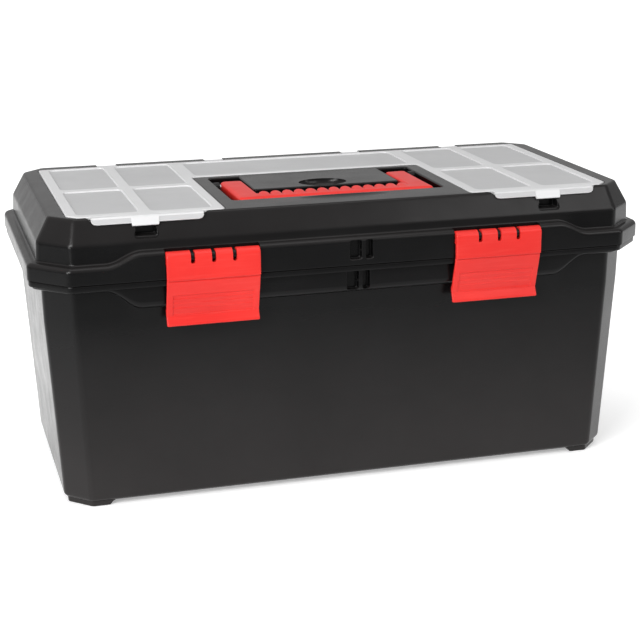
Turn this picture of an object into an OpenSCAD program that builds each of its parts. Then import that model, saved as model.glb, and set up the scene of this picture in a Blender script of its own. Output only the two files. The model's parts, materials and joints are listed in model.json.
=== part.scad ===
// Carpenter's plastic toolbox: tapered tub, hinged lid with small-parts bins under
// a one-piece translucent cover, fold-flat handle, two front latches and an inner tray.
// Millimetres. Origin on the floor under the middle of the box, +Z up, front at -Y.

/* [Overall] */
// Length over the lid skirt
skirt_l = 550; // [546:1:560]
// Depth over the lid skirt
skirt_d = 277.5; // [276:0.5:279]
// Corner cut of the lid skirt
skirt_cut = 30.4; // [28:0.2:33]
// Height of the top face of the lid
lid_top = 255; // [254:0.5:257]
// Height of the joint between tub and lid
parting = 203; // [202.5:0.5:203.5]
// Height of the moulded feet
foot_h = 5; // [4:0.5:6]

/* [Tub] */
// Length of the tub at its floor
floor_l = 507; // [500:1:512]
// Depth of the tub at its floor
floor_d = 230.5; // [226:0.5:232]
// Corner cut of the tub at its floor
floor_cut = 20.5; // [18:0.5:24]
// Length of the tub at its mouth
mouth_l = 530; // [528:1:532]
// Depth of the tub at its mouth
mouth_d = 246; // [245:0.5:247]
// Corner cut of the tub at its mouth
mouth_cut = 24; // [22:0.5:26]
// Thickness of the tub walls
tub_wall = 2.6; // [2.4:0.1:3.2]
// Height of the tub lip above the joint, inside the lid
tub_lip = 4.5; // [3:0.5:6]
// Depth of the band round the mouth, front to back
band_d = 260; // [259:0.5:261]
// Height of the band at the corners and ends
band_low = 194.5; // [193:0.5:196]
// Height of the lower edge of the band behind the latches
band_deep = 177; // [177:0.5:179]
// Thickness of the band skirt
band_t = 2.5; // [2:0.1:3]
// Length of each foot along the front
foot_l = 24; // [18:1:30]

/* [Lid] */
// Thickness of the lid skin
lid_wall = 2.5; // [2.2:0.1:2.8]
// Height of the flange top at the corners and ends
flange_low = 218.5; // [217:0.5:219.5]
// Height of the flange top between the latches
flange_high = 228; // [227.5:0.5:229]
// Height where the lid wall turns into the sloped rim
shoulder = 235; // [233:0.5:237]
// Inner end of the S bend in the flange and band
bend_in = 184; // [180:1:188]
// Outer end of the S bend in the flange and band
bend_out = 214; // [206:1:220]

/* [Latches] */
// Width of a latch
latch_w = 79; // [76:1:80]
// Distance of each latch from the middle of the box
latch_x = 126; // [122:1:130]
// Height of the lower edge of a latch
latch_bottom = 162.5; // [160:0.5:164]
// Pitch of the three hinge slots in a latch
slot_pitch = 17.6; // [17:0.2:19]
// Radius of the latch pins
latch_pin_r = 1.5; // [1.2:0.1:1.8]

/* [Handle] */
// Width over the arms
handle_w = 178; // [176:1:180]
// Width of an arm and of the grip
handle_bar = 20; // [18:1:20]
// Distance from the pivot to the front of the grip
handle_reach = 76; // [72:1:76]
// Thickness of the handle
handle_t = 10; // [9:0.5:10]
// Number of finger ribs on the grip
grip_ribs = 12; // [8:1:14]
// Radius of the handle pins
handle_pin_r = 2.5; // [2:0.1:2.8]

/* [Organiser] */
// Length of the translucent cover
cover_l = 482; // [478:1:484]
// Distance of the back edge of the cover from the middle
cover_back = 105; // [104:0.5:105]
// Distance of the front edge of the wings from the middle
cover_front = 116; // [114:0.5:117]
// Half width of the gap between the wings
gap_half = 109.5; // [108:0.5:111]
// Front edge of the strip that joins the wings
strip_front = 27; // [26:0.5:28]
// Thickness of the cover panels
cover_t = 1.5; // [1.3:0.1:1.8]
// Height of the ribs on the cover panels
cover_rib = 1.2; // [0.8:0.1:1.4]
// Depth of the small-parts bins
bin_depth = 31; // [26:1:32]

/* [Tray] */
// Length of the tray over its hanging rims
tray_l = 518; // [514:1:519]
// Depth of the tray, front to back
tray_d = 150; // [130:1:156]
// Height of the tray
tray_h = 60; // [50:1:70]
// Thickness of the tray walls
tray_wall = 2; // [1.8:0.1:2.5]

/* [Hinge] */
// Distance of each hinge from the middle of the box
hinge_x = 150; // [140:1:160]
// Radius of the hinge pins
hinge_pin_r = 2; // [1.8:0.1:2.2]
// Radius of the hinge knuckles
knuckle_r = 5.5; // [5:0.1:5.5]

/* [Hidden] */
$fn = 48;

// Colours of the mouldings and pins
black = [0.11, 0.11, 0.12];
red = [0.90, 0.16, 0.13];
clear = [0.86, 0.88, 0.89];
steel = [0.70, 0.71, 0.73];
grey = [0.30, 0.31, 0.33];

// Clearances: between separate mouldings, round a running pin, and overshoot of cuts
gap = 0.5;
run = 0.07;
over = 1;
slab = 0.01;

// Heights and outlines that follow from the driving sizes
skirt_bottom = parting + 0.6;
floor_top = foot_h + tub_wall;
lip_top = parting + tub_lip;
rim_l = skirt_l - 2;
rim_d = skirt_d - 3;
rim_cut = skirt_cut;
rim_t = 5;
band_l = 541;
band_cut = 27.5;
wall_l = 535;
wall_d = 263;
wall_cut = 27;
shoulder_l = 532;
shoulder_d = 260.4;
shoulder_cut = 25;
top_l = 510;
top_d = 238.6;
top_cut = 18;

// Organiser rebate, bins and cover heights
rebate = lid_top - 2.5;
skin_under = rebate - lid_wall;
rebate_gap = 1.3;
cover_bottom = rebate + 0.3;
panel_top = cover_bottom + cover_t;
cover_top = panel_top + cover_rib;
bin_floor = rebate - bin_depth;
bin_wall = 2;
rib_x = 175.5;
rib_y = -4;
rib_half = 3;
bin_out = cover_l / 2 - 5;
bin_in = gap_half + 6;
bin_front = cover_front - 8;
bin_back = cover_back - 5;
cover_corner = 9;

// Cover hinge: four tabs whose trunnions turn in the notched back rim of the lid
tab_w = 18;
tab_x = [-175, -70, 70, 175];
cover_pivot_y = cover_back + 8.5;
cover_pivot_z = lid_top - 2.7;
trunnion_r = 1.3;
trunnion_l = 2.5;

// Cover lips that fold over the front slope and clip on it
lip_x = 176;
lip_half = 46.5;
clip_x = 178.5;
clip_half = 11.5;
notch_half = 8.5;
notch_wall = 2.5;
tab_floor = cover_pivot_z - 4;
slope_y = (shoulder_d - top_d) / 2;
slope_z = lid_top - shoulder;
slope_len = sqrt(slope_y * slope_y + slope_z * slope_z);
lip_drop = 4;
clip_drop = 6.5;
lip_gap = 0.6;
lip_t = 1.6;

// Handle recess, island between the arms, and pivot
recess_half = 96;
recess_back = 18;
recess_front = -84;
handle_pivot_y = -4;
handle_top = lid_top + 0.5;
handle_pivot_z = handle_top - handle_t / 2;
recess_floor = handle_top - handle_t - 2;
island_half = handle_w / 2 - handle_bar - 1.5;
island_front = -44;
scoop_y = -28;
scoop_r = 16;
scoop_half = 6;
grip_front = handle_pivot_y - handle_reach;
handle_pin_in = handle_w / 2 - 14;
handle_pin_out = recess_half + 3;

// Latch hinge axis, plate faces and catch
latch_y = -137.6;
latch_z = 221.4;
latch_r = 5.6;
latch_step = 203;
latch_rib_w = 3;
latch_rib_r = 4;
latch_slot_w = 3.6;
catch_top = band_deep - 0.6;
catch_tip = -(band_d / 2 - band_t) + 1.3;
notch_r = latch_r + 0.4;

// Lid hinge axis and the knuckles of one hinge, given as [start, end] along X
hinge_y = latch_r - latch_y - knuckle_r;
hinge_z = parting + 0.3;
hinge_half = 45;
tub_knuckles = [[-hinge_half, -27], [-9, 9], [27, hinge_half]];
lid_knuckles = [[-26.5, -9.5], [9.5, 26.5]];

// Padlock recess in the front flange and band, with its pierced rib
lock_left = -8;
lock_right = 12.5;
lock_rib = 2.5;
lock_rib_t = 3.5;
lock_eye_r = 2.2;
lock_wall = 3;
lock_depth = 6.5;

// Tray seat on the end ribs, rims, walls and grip
seat_z = 193;
seat_x = 250;
seat_pitch = 60;
seat_t = 3;
tray_y = 40;
tray_rim_z = seat_z + 0.3;
tray_rim_t = 2.7;
tray_top = tray_rim_z + tray_rim_t + 3;
tray_bottom = tray_top - tray_h;
tray_body_l = 494;
tray_taper = 8;
tray_corner = 20;
tray_cross = 62;
grip_top = 214;
grip_bar = 6;
grip_slot = 32;
grip_slot_r = 11;
groove_t = 2;
divider_t = 1.8;
divider_x = [-155, 118, 182];

// Flat-cornered outline of the mouldings
module octagon(l, d, cut) {
    x = l / 2;
    y = d / 2;
    polygon([[x - cut, -y], [x, -y + cut], [x, y - cut], [x - cut, y],
        [cut - x, y], [-x, y - cut], [-x, cut - y], [cut - x, -y]]);
}

// Prism of that outline from one height to another
module prism(l, d, cut, z0, z1)
    translate([0, 0, z0]) linear_extrude(z1 - z0) octagon(l, d, cut);

// Tapered body through a list of outlines, each [length, depth, cut, height]
module loft(levels)
    hull()
        for (v = levels)
            translate([0, 0, v[3]]) linear_extrude(slab) octagon(v[0], v[1], v[2]);

// Box between two opposite corners
module block(low, high)
    translate(low) cube(high - low);

// Cylinder along X from x0 to x1 about the axis at (y, z)
module rod(x0, x1, y, z, r)
    translate([x0, y, z]) rotate([0, 90, 0]) cylinder(h = x1 - x0, r = r);

// A YZ outline drawn out along X from x0 to x1
module along_x(x0, x1)
    translate([x0, 0, 0]) rotate([90, 0, 90]) linear_extrude(x1 - x0) children();

// An XZ outline drawn out along Y from y0 to y1
module along_y(y0, y1)
    translate([0, y1, 0]) rotate([90, 0, 0]) linear_extrude(y1 - y0) children();

// Height of an edge that runs level, bends in an S and runs level again
function bend_t(x) = min(1, max(0, (abs(x) - bend_in) / (bend_out - bend_in)));
function bend(x, mid, far) = far + (mid - far) * (1 + cos(180 * bend_t(x))) / 2;

// Outline with one level edge at height flat and one S-bent edge
module bent_edge(flat, mid, far) {
    reach = skirt_l;
    steps = 8;
    xs = [for (i = [0:steps]) bend_in + (bend_out - bend_in) * i / steps];
    right = [for (x = xs) [x, bend(x, mid, far)]];
    left = [for (i = [steps:-1:0]) [-xs[i], bend(xs[i], mid, far)]];
    polygon(concat([[-reach, flat], [-reach, far]], left, right, [[reach, far], [reach, flat]]));
}

// Box body with its rim, band, feet, tray ribs, catches and hinge knuckles
module tub() {
    inner_l = mouth_l - 2 * tub_wall;
    inner_d = mouth_d - 2 * tub_wall;
    color(black)
        difference() {
            union() {
                difference() {
                    union() {
                        loft([[floor_l, floor_d, floor_cut, foot_h],
                            [mouth_l, mouth_d, mouth_cut, lip_top - slab]]);
                        prism(rim_l, rim_d, rim_cut, parting - rim_t, parting);
                        band();
                    }
                    loft([[floor_l - 2 * tub_wall, floor_d - 2 * tub_wall, floor_cut, floor_top],
                        [inner_l, inner_d, mouth_cut, lip_top + over]]);
                }
                tray_ribs();
                feet();
                for (side = [-1, 1])
                    for (k = tub_knuckles)
                        translate([side * hinge_x, 0, 0]) tub_knuckle(k[0], k[1]);
            }
            for (side = [-1, 1]) {
                translate([side * hinge_x, 0, 0]) {
                    rod(-hinge_half - over, hinge_half + over, hinge_y, hinge_z, hinge_pin_r);
                    for (k = lid_knuckles)
                        rod(k[0] - gap, k[1] + gap, hinge_y, hinge_z, knuckle_r + 0.6);
                }
            }
            lock_pocket(-band_d / 2, band_deep + 2.5, parting - rim_t - 0.5);
        }
}

// Hollow band under the rim, deep in the middle of the front and back
module band()
    intersection() {
        union() {
            difference() {
                prism(band_l, band_d, band_cut, band_deep - over, parting - rim_t);
                prism(band_l - 2 * band_t, band_d - 2 * band_t, band_cut, band_deep - 2 * over,
                    parting - rim_t + over);
            }
            block([lock_left - lock_wall, -band_d / 2, band_deep],
                [lock_right + lock_wall, 1 - floor_d / 2, parting - rim_t]);
        }
        along_y(-skirt_d, skirt_d) bent_edge(parting, band_deep, band_low);
    }

// Four feet that follow the cut corners of the floor
module feet()
    intersection() {
        prism(floor_l - 3, floor_d - 3, floor_cut, 0, foot_h + slab);
        for (sx = [-1, 1])
            for (sy = [-1, 1])
                translate([sx * floor_l / 2, sy * floor_d / 2, 0])
                    linear_extrude(foot_h + 1)
                        square([2 * (floor_cut + foot_l), 2 * (floor_cut + 6)], center = true);
    }

// Tapered ribs inside the ends that carry the rims of the tray
module tray_ribs()
    for (side = [-1, 1])
        for (y = [-seat_pitch, 0, seat_pitch])
            along_y(y - seat_t / 2, y + seat_t / 2)
                polygon([[side * (floor_l / 2 - 9), foot_h + over],
                    [side * (floor_l / 2 - 1), foot_h + over], [side * (mouth_l / 2 - 2), seat_z],
                    [side * seat_x, seat_z], [side * seat_x, seat_z - 20]]);

// Knuckle on the back of the tub rim
module tub_knuckle(x0, x1) {
    rod(x0, x1, hinge_y, hinge_z, knuckle_r);
    block([x0, band_d / 2 - band_t, parting - 12], [x1, hinge_y + 2, parting]);
}

// Recess for a padlock, cut back from a front face, with a pierced rib across it
module lock_pocket(face, z0, z1) {
    back = face + lock_depth;
    block([lock_left, -skirt_d, z0], [lock_rib, back, z1]);
    block([lock_rib + lock_rib_t, -skirt_d, z0], [lock_right, back, z1]);
    rod(lock_rib - 1, lock_rib + lock_rib_t + 1, face + lock_depth / 2, (z0 + z1) / 2, lock_eye_r);
}

// Hollow lid with bins, handle recess, cover rebate, latch ribs and hinge knuckles
module lid() {
    color(black)
        difference() {
            union() {
                difference() {
                    lid_outside();
                    lid_inside();
                }
                for (side = [-1, 1]) {
                    translate([side * hinge_x, 0, 0])
                        for (k = lid_knuckles) lid_knuckle(k[0], k[1]);
                    rod(side * (recess_half + 4) - 4, side * (recess_half + 4) + 4,
                        handle_pivot_y, handle_pivot_z, 5);
                }
            }
            handle_recess();
            cover_rebate();
            bins(bin_floor, 0);
            latch_notches();
            hinge_clearance();
            lock_pocket(-skirt_d / 2, parting + 5.5, flange_high - 2.2);
            for (side = [-1, 1]) {
                x0 = side > 0 ? recess_half - over : -handle_pin_out;
                rod(x0, x0 + handle_pin_out - recess_half + over, handle_pivot_y, handle_pivot_z,
                    handle_pin_r);
            }
        }
    color(black) latch_ribs();
}

// Outer shape of the lid: skirt, raised flange and sloped upper body
module lid_outside() {
    loft([[wall_l, wall_d, wall_cut, flange_low - over], [shoulder_l, shoulder_d, shoulder_cut, shoulder],
        [top_l, top_d, top_cut, lid_top - slab]]);
    prism(skirt_l, skirt_d, skirt_cut, skirt_bottom, flange_low);
    intersection() {
        prism(skirt_l, skirt_d, skirt_cut, flange_low - over, flange_high);
        along_y(-skirt_d, skirt_d) bent_edge(flange_low - over, flange_high, flange_low);
        union() {
            block([-bend_out, -skirt_d, 0], [bend_out, -120, lid_top]);
            block([-bend_out, 120, 0], [bend_out, skirt_d, lid_top]);
        }
    }
}

// Hollow of the lid, less the walls of the bins, handle recess, padlock recess and the notches
// for latches, hinge tabs and clips
module lid_inside()
    difference() {
        union() {
            prism(skirt_l - 2 * lid_wall, skirt_d - 2 * lid_wall, skirt_cut - 1,
                skirt_bottom - over, flange_low - lid_wall);
            loft([[wall_l - 2 * lid_wall, wall_d - 2 * lid_wall, wall_cut, flange_low - lid_wall - over],
                [shoulder_l - 2 * lid_wall, shoulder_d - 2 * lid_wall, shoulder_cut, shoulder],
                [top_l - 4 * lid_wall, top_d - 4 * lid_wall, top_cut, skin_under - slab]]);
        }
        bins(bin_floor - bin_wall, bin_wall);
        block([-recess_half - lid_wall, recess_front - lid_wall, recess_floor - lid_wall],
            [recess_half + lid_wall, recess_back + lid_wall, lid_top]);
        for (side = [-1, 1])
            translate([side * latch_x, 0, 0])
                block([-latch_w / 2 - lid_wall, -skirt_d, latch_z - 10],
                    [latch_w / 2 + lid_wall, 4 - wall_d / 2, lid_top]);
        block([lock_left - lock_wall, -skirt_d, 0], [lock_right + lock_wall, 4 - wall_d / 2, lid_top]);
        for (x = tab_x)
            block([x - tab_w / 2 - trunnion_l - 3, cover_back - notch_wall, tab_floor - notch_wall],
                [x + tab_w / 2 + trunnion_l + 3, skirt_d, lid_top]);
        for (side = [-1, 1])
            block([side * clip_x - notch_half - notch_wall, -skirt_d, lid_top - 16 - notch_wall],
                [side * clip_x + notch_half + notch_wall, 3 - top_d / 2 + notch_wall, lid_top]);
    }

// The nine bins, grown by a margin, from a floor height to above the lid
module bins(z0, margin) {
    m = [margin, margin, 0];
    for (side = [-1, 1])
        for (ys = [[-bin_front, rib_y - rib_half], [rib_y + rib_half, bin_back]])
            for (xs = [[bin_in, rib_x - rib_half], [rib_x + rib_half, bin_out]]) {
                x0 = side > 0 ? xs[0] : -xs[1];
                x1 = side > 0 ? xs[1] : -xs[0];
                block([x0, ys[0], z0] - m, [x1, ys[1], lid_top + over] + m);
            }
    block([4 - gap_half, strip_front + 9, z0] - m, [gap_half - 4, bin_back, lid_top + over] + m);
}

// Recess that takes the folded handle, round the raised island with its finger scoop
module handle_recess() {
    difference() {
        block([-recess_half, recess_front, recess_floor], [recess_half, recess_back, lid_top + over]);
        difference() {
            block([-island_half, island_front, 0], [island_half, recess_back + over, lid_top]);
            for (side = [-1, 1])
                translate([side * scoop_half, scoop_y, recess_floor])
                    cylinder(h = lid_top, r = scoop_r);
            block([-scoop_half, scoop_y - scoop_r, recess_floor],
                [scoop_half, scoop_y + scoop_r, lid_top + over]);
        }
    }
}

// Shallow rebate for the cover, its hinge notches and bores, and the clip notches
module cover_rebate() {
    translate([0, 0, rebate]) linear_extrude(lid_top) cover_outline(0.5, rebate_gap);
    for (x = tab_x) {
        block([x - tab_w / 2 - gap, cover_back, tab_floor],
            [x + tab_w / 2 + gap, skirt_d, lid_top + over]);
        rod(x - tab_w / 2 - trunnion_l - gap, x + tab_w / 2 + trunnion_l + gap,
            cover_pivot_y, cover_pivot_z, trunnion_r + run);
    }
    for (side = [-1, 1])
        block([side * clip_x - notch_half, -skirt_d, lid_top - 16],
            [side * clip_x + notch_half, 3 - top_d / 2, lid_top - 6]);
}

// Pockets in the flange for the latch knuckles
module latch_notches()
    for (side = [-1, 1])
        translate([side * latch_x, 0, 0]) {
            half = latch_w / 2 + gap;
            rod(-half, half, latch_y, latch_z, notch_r);
            block([-half, latch_y - 20, latch_z - 1], [half, latch_y + notch_r, lid_top]);
            block([-half, latch_y - 20, latch_z - notch_r], [half, latch_y, lid_top]);
        }

// Ribs in those pockets that hold the latch pins
module latch_ribs()
    for (side = [-1, 1])
        for (i = [-1:1])
            difference() {
                x = side * latch_x + i * slot_pitch;
                union() {
                    rod(x - latch_rib_w / 2, x + latch_rib_w / 2, latch_y, latch_z, latch_rib_r);
                    block([x - latch_rib_w / 2, latch_y, latch_z - latch_rib_r],
                        [x + latch_rib_w / 2, latch_y + notch_r + over, latch_z + latch_rib_r]);
                }
                rod(x - latch_rib_w, x + latch_rib_w, latch_y, latch_z, latch_pin_r);
            }

// Knuckle on the back of the lid skirt
module lid_knuckle(x0, x1) {
    rod(x0, x1, hinge_y, hinge_z, knuckle_r);
    block([x0, skirt_d / 2 - 8, skirt_bottom], [x1, hinge_y + 2, parting + 9]);
}

// Room in the lid skirt for the knuckles of the tub, and the running bores
module hinge_clearance()
    for (side = [-1, 1])
        translate([side * hinge_x, 0, 0]) {
            for (k = tub_knuckles)
                rod(k[0] - gap, k[1] + gap, hinge_y, hinge_z, knuckle_r + 0.6);
            rod(-hinge_half - over, hinge_half + over, hinge_y, hinge_z, hinge_pin_r + run);
        }

// Steel rod through the knuckles of one hinge
module hinge_pin(side)
    color(steel)
        rod(side * hinge_x - hinge_half, side * hinge_x + hinge_half, hinge_y, hinge_z, hinge_pin_r);

module hinge_pin_left() hinge_pin(-1);

module hinge_pin_right() hinge_pin(1);

// Plan of the cover, grown by a margin on its sides and by a gap at the back
module cover_outline(margin, back_gap) {
    x = cover_l / 2 + margin;
    back = cover_back + back_gap;
    difference() {
        union() {
            polygon([[-x, cover_corner - cover_front - margin], [cover_corner - x, -cover_front - margin],
                [x - cover_corner, -cover_front - margin], [x, cover_corner - cover_front - margin],
                [x, back], [-x, back]]);
            for (side = [-1, 1])
                translate([side * lip_x - lip_half - margin, -top_d / 2 - 3])
                    square([2 * (lip_half + margin), 20]);
        }
        translate([margin - gap_half, -skirt_d])
            square([2 * (gap_half - margin), skirt_d + strip_front - margin]);
    }
}

// One-piece cover with ribbed panels, folded front lips and hinge tabs
module organiser_cover()
    color(clear, 0.6) {
        translate([0, 0, cover_bottom]) linear_extrude(cover_t) cover_outline(0, 0);
        difference() {
            translate([0, 0, panel_top - slab]) linear_extrude(cover_rib + slab) cover_outline(0, 0);
            cover_panels();
        }
        for (side = [-1, 1]) {
            cover_lip(side * lip_x, lip_half, lip_drop);
            cover_lip(side * clip_x, clip_half, clip_drop);
        }
        for (x = tab_x) cover_tab(x);
    }

// Sunk panels over the bins
module cover_panels() {
    rim = 9;
    rib = 5;
    for (side = [-1, 1])
        for (ys = [[rim - cover_front, rib_y - rib], [rib_y + rib, cover_back - rib]])
            for (xs = [[gap_half + rim, rib_x - rib], [rib_x + rib, cover_l / 2 - rim]]) {
                x0 = side > 0 ? xs[0] : -xs[1];
                x1 = side > 0 ? xs[1] : -xs[0];
                block([x0, ys[0], panel_top], [x1, ys[1], lid_top + 2 * over]);
            }
    block([rib - gap_half, strip_front + rib, panel_top],
        [gap_half - rib, cover_back - rib, lid_top + 2 * over]);
}

// Lip that follows the front slope of the lid for a given drop
module cover_lip(x, half, drop) {
    run_y = slope_y / slope_len * drop;
    run_z = slope_z / slope_len * drop;
    inner = -top_d / 2 - slope_y / slope_z * (lid_top - cover_bottom) - lip_gap;
    along_x(x - half, x + half)
        polygon([[4 - cover_front, cover_bottom], [4 - cover_front, cover_top], [inner, cover_top],
            [inner - lip_t, cover_top - 1], [inner - lip_t - run_y, cover_bottom - run_z + 0.8],
            [inner - run_y, cover_bottom - run_z], [inner, cover_bottom]]);
}

// Hinge tab with a trunnion on each side
module cover_tab(x) {
    half = tab_w / 2;
    tab_r = 2.4;
    block([x - half, cover_back - 2, cover_bottom], [x + half, cover_pivot_y, cover_pivot_z + tab_r]);
    rod(x - half, x + half, cover_pivot_y, cover_pivot_z, tab_r);
    rod(x - half - trunnion_l, x + half + trunnion_l, cover_pivot_y, cover_pivot_z, trunnion_r);
}

// Swinging U handle with finger ribs
module handle() {
    half = handle_w / 2;
    top = handle_top;
    low = top - handle_t;
    rib_pitch = 2 * (half - handle_bar) / grip_ribs;
    grip_back = grip_front + handle_bar;
    color(red)
        difference() {
            union() {
                for (side = [-1, 1]) {
                    x0 = side > 0 ? half - handle_bar : -half;
                    block([x0, grip_front, low], [x0 + handle_bar, handle_pivot_y, top]);
                    rod(x0, x0 + handle_bar, handle_pivot_y, handle_pivot_z, handle_t / 2);
                }
                block([-half, grip_front, low], [half, grip_back - 3, top]);
                for (i = [0:grip_ribs - 1])
                    translate([-half + handle_bar + (i + 0.5) * rib_pitch, grip_back - 4, low])
                        cylinder(h = handle_t, r = rib_pitch / 2 - 0.3);
            }
            for (side = [-1, 1])
                rod(side * (half - 7) - 9, side * (half - 7) + 9, handle_pivot_y, handle_pivot_z,
                    handle_pin_r + run);
        }
}

// Steel pin between the lid and one arm of the handle
module handle_pin(side) {
    x0 = side > 0 ? handle_pin_in : -handle_pin_out;
    color(steel) rod(x0, x0 + handle_pin_out - handle_pin_in, handle_pivot_y, handle_pivot_z, handle_pin_r);
}

module handle_pin_left() handle_pin(-1);

module handle_pin_right() handle_pin(1);

// Side view of a latch: hinge end, upright plate, sloped flap, finger lip and catch
module latch_profile() {
    face = latch_y - latch_r;
    inner = -skirt_d / 2 - 0.65;
    polygon([[face, latch_z], [face, latch_step], [face + 1.4, latch_step - 0.8],
        [-133.4, latch_bottom + 9.5], [-136.4, latch_bottom + 1], [-135.4, latch_bottom],
        [-133.6, latch_bottom], [-131.2, latch_bottom + 9], [catch_tip, latch_bottom + 9.5],
        [catch_tip, catch_top], [-130.6, catch_top], [-137.9, parting - rim_t], [inner, parting + 1],
        [inner, latch_z - latch_r], [latch_y, latch_z]]);
}

// Latch with its hinge knuckle, slots for the lid ribs and pin bore
module latch(side) {
    half = latch_w / 2;
    translate([side * latch_x, 0, 0])
        color(red)
            difference() {
                union() {
                    along_x(-half, half) latch_profile();
                    rod(-half, half, latch_y, latch_z, latch_r);
                }
                for (i = [-1:1])
                    block([i * slot_pitch - latch_slot_w / 2, latch_y - 20, latch_z - latch_rib_r - 0.6],
                        [i * slot_pitch + latch_slot_w / 2, latch_y + 20, lid_top]);
                rod(-half - over, half + over, latch_y, latch_z, latch_pin_r + run);
            }
}

module latch_left() latch(-1);

module latch_right() latch(1);

// Steel pin that carries one latch
module latch_pin(side)
    color(steel)
        rod(side * latch_x - latch_w / 2 + 1, side * latch_x + latch_w / 2 - 1, latch_y, latch_z,
            latch_pin_r);

module latch_pin_left() latch_pin(-1);

module latch_pin_right() latch_pin(1);

// Tray that hangs by its end rims and slides front to back
module tray() {
    half = tray_body_l / 2;
    w = tray_wall;
    translate([0, tray_y, 0])
        color(grey) {
            difference() {
                union() {
                    loft([[tray_body_l - tray_taper, tray_d - tray_taper, 6, tray_bottom],
                        [tray_body_l, tray_d, 8, tray_top - slab]]);
                    block([-tray_l / 2, tray_corner - tray_d / 2, tray_rim_z],
                        [tray_l / 2, tray_d / 2 - tray_corner, tray_rim_z + tray_rim_t]);
                }
                loft([[tray_body_l - tray_taper - 2 * w, tray_d - tray_taper - 2 * w, 6, tray_bottom + w],
                    [tray_body_l - 2 * w, tray_d - 2 * w, 8, tray_top + over]]);
            }
            for (side = [-1, 1])
                block([side * tray_cross - 1, w - tray_d / 2, tray_bottom + 1],
                    [side * tray_cross + 1, tray_d / 2 - w, tray_top - 4]);
            tray_grip();
            for (x = divider_x) tray_grooves(x);
        }
}

// Lengthwise wall with a finger slot, by which the tray is lifted
module tray_grip()
    difference() {
        block([-tray_cross, -2, tray_bottom + 1], [tray_cross, 2, grip_top]);
        for (side = [-1, 1])
            translate([side * grip_slot, 0, grip_top - grip_bar - grip_slot_r]) rotate([90, 0, 0])
                cylinder(h = 10, r = grip_slot_r, center = true);
        block([-grip_slot, -5, grip_top - grip_bar - 2 * grip_slot_r],
            [grip_slot, 5, grip_top - grip_bar]);
    }

// Pairs of guide ribs that hold a loose divider
module tray_grooves(x)
    for (side = [-1, 1])
        for (s = [-1, 1])
            translate([x + s * (divider_t / 2 + 0.3 + groove_t / 2), side * (tray_d / 2 - 6), 0])
                translate([-groove_t / 2, -4, tray_bottom + 1]) cube([groove_t, 8, tray_h - 6]);

// Loose plate that divides the tray
module tray_divider(x) {
    foot = (tray_d - tray_taper) / 2 - tray_wall - 0.4;
    head = tray_d / 2 - tray_wall - 0.6;
    translate([0, tray_y, 0])
        color(red)
            along_x(x - divider_t / 2, x + divider_t / 2)
                polygon([[-foot, tray_bottom + tray_wall + 0.3], [foot, tray_bottom + tray_wall + 0.3],
                    [head, tray_top - 6], [-head, tray_top - 6]]);
}

module tray_divider_left() tray_divider(divider_x[0]);

module tray_divider_middle() tray_divider(divider_x[1]);

module tray_divider_right() tray_divider(divider_x[2]);

tub();
lid();
hinge_pin_left();
hinge_pin_right();
latch_left();
latch_right();
latch_pin_left();
latch_pin_right();
handle();
handle_pin_left();
handle_pin_right();
organiser_cover();
tray();
tray_divider_left();
tray_divider_middle();
tray_divider_right();
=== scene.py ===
"""Looks of the carpenter's toolbox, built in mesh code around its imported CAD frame."""
import json
import math

import bmesh
import bpy
from mathutils import Matrix, Vector


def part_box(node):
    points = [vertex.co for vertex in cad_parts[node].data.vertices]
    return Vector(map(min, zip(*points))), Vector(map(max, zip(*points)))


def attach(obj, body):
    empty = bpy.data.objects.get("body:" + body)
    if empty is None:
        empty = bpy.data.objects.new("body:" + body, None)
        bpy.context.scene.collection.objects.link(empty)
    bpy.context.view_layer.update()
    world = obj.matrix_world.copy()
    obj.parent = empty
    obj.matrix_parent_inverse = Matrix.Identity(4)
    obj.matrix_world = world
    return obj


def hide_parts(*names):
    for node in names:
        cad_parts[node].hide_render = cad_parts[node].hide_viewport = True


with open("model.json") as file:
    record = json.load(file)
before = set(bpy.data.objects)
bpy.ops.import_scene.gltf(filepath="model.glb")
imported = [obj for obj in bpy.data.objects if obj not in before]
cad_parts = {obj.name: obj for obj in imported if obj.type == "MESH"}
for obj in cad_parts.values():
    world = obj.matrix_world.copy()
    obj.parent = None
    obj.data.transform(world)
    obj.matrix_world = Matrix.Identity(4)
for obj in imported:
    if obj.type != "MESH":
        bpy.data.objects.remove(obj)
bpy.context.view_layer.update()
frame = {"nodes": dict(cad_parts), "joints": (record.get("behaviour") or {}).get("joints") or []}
scene = bpy.context.scene
MM = 0.001


# ------------------------------------------------- sizes in millimetres, from the frame

def box_mm(node):
    """Lowest and highest corner of a CAD node, in millimetres."""
    low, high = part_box(node)
    return low / MM, high / MM


def pivot_mm(name):
    """A joint's position, in millimetres."""
    place = next(j["pos_m"] for j in frame["joints"] if j["name"] == name)
    return Vector(place) / MM


tray_low, tray_high = box_mm("tray")
latch_low = box_mm("latch_right")[0]
handle_low, handle_high = box_mm("handle")
cover_high = box_mm("organiser_cover")[1]
hinge = pivot_mm("lid_hinge")
latch_axis = pivot_mm("latch_right_hinge")
handle_axis = pivot_mm("handle_hinge")
cover_axis = pivot_mm("cover_hinge")

TOP = handle_high.z - 0.5                # top face of the lid
PARTING = 203.0                          # joint between tub and lid
LIP_TOP = 207.5                          # tub lip, inside the lid
FLOOR_TOP = 7.6                          # inside floor of the tub

# Outlines in plan: half length, half depth, corner cut, radius of the upright edges
FLOOR = (253.5, 115.25, 20.5, 8.0)
MOUTH = (265.0, 123.0, 24.0, 9.0)
BAND = (270.5, 130.0, 27.5, 9.0)
RIM = (274.0, 137.25, 30.4, 9.0)
SKIRT = (275.0, 138.75, 30.4, 9.0)
WALL = (267.5, 131.5, 27.0, 10.0)
SHOULDER = (266.0, 130.2, 25.0, 9.5)
CROWN = (255.0, 119.3, 18.0, 8.0)

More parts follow.
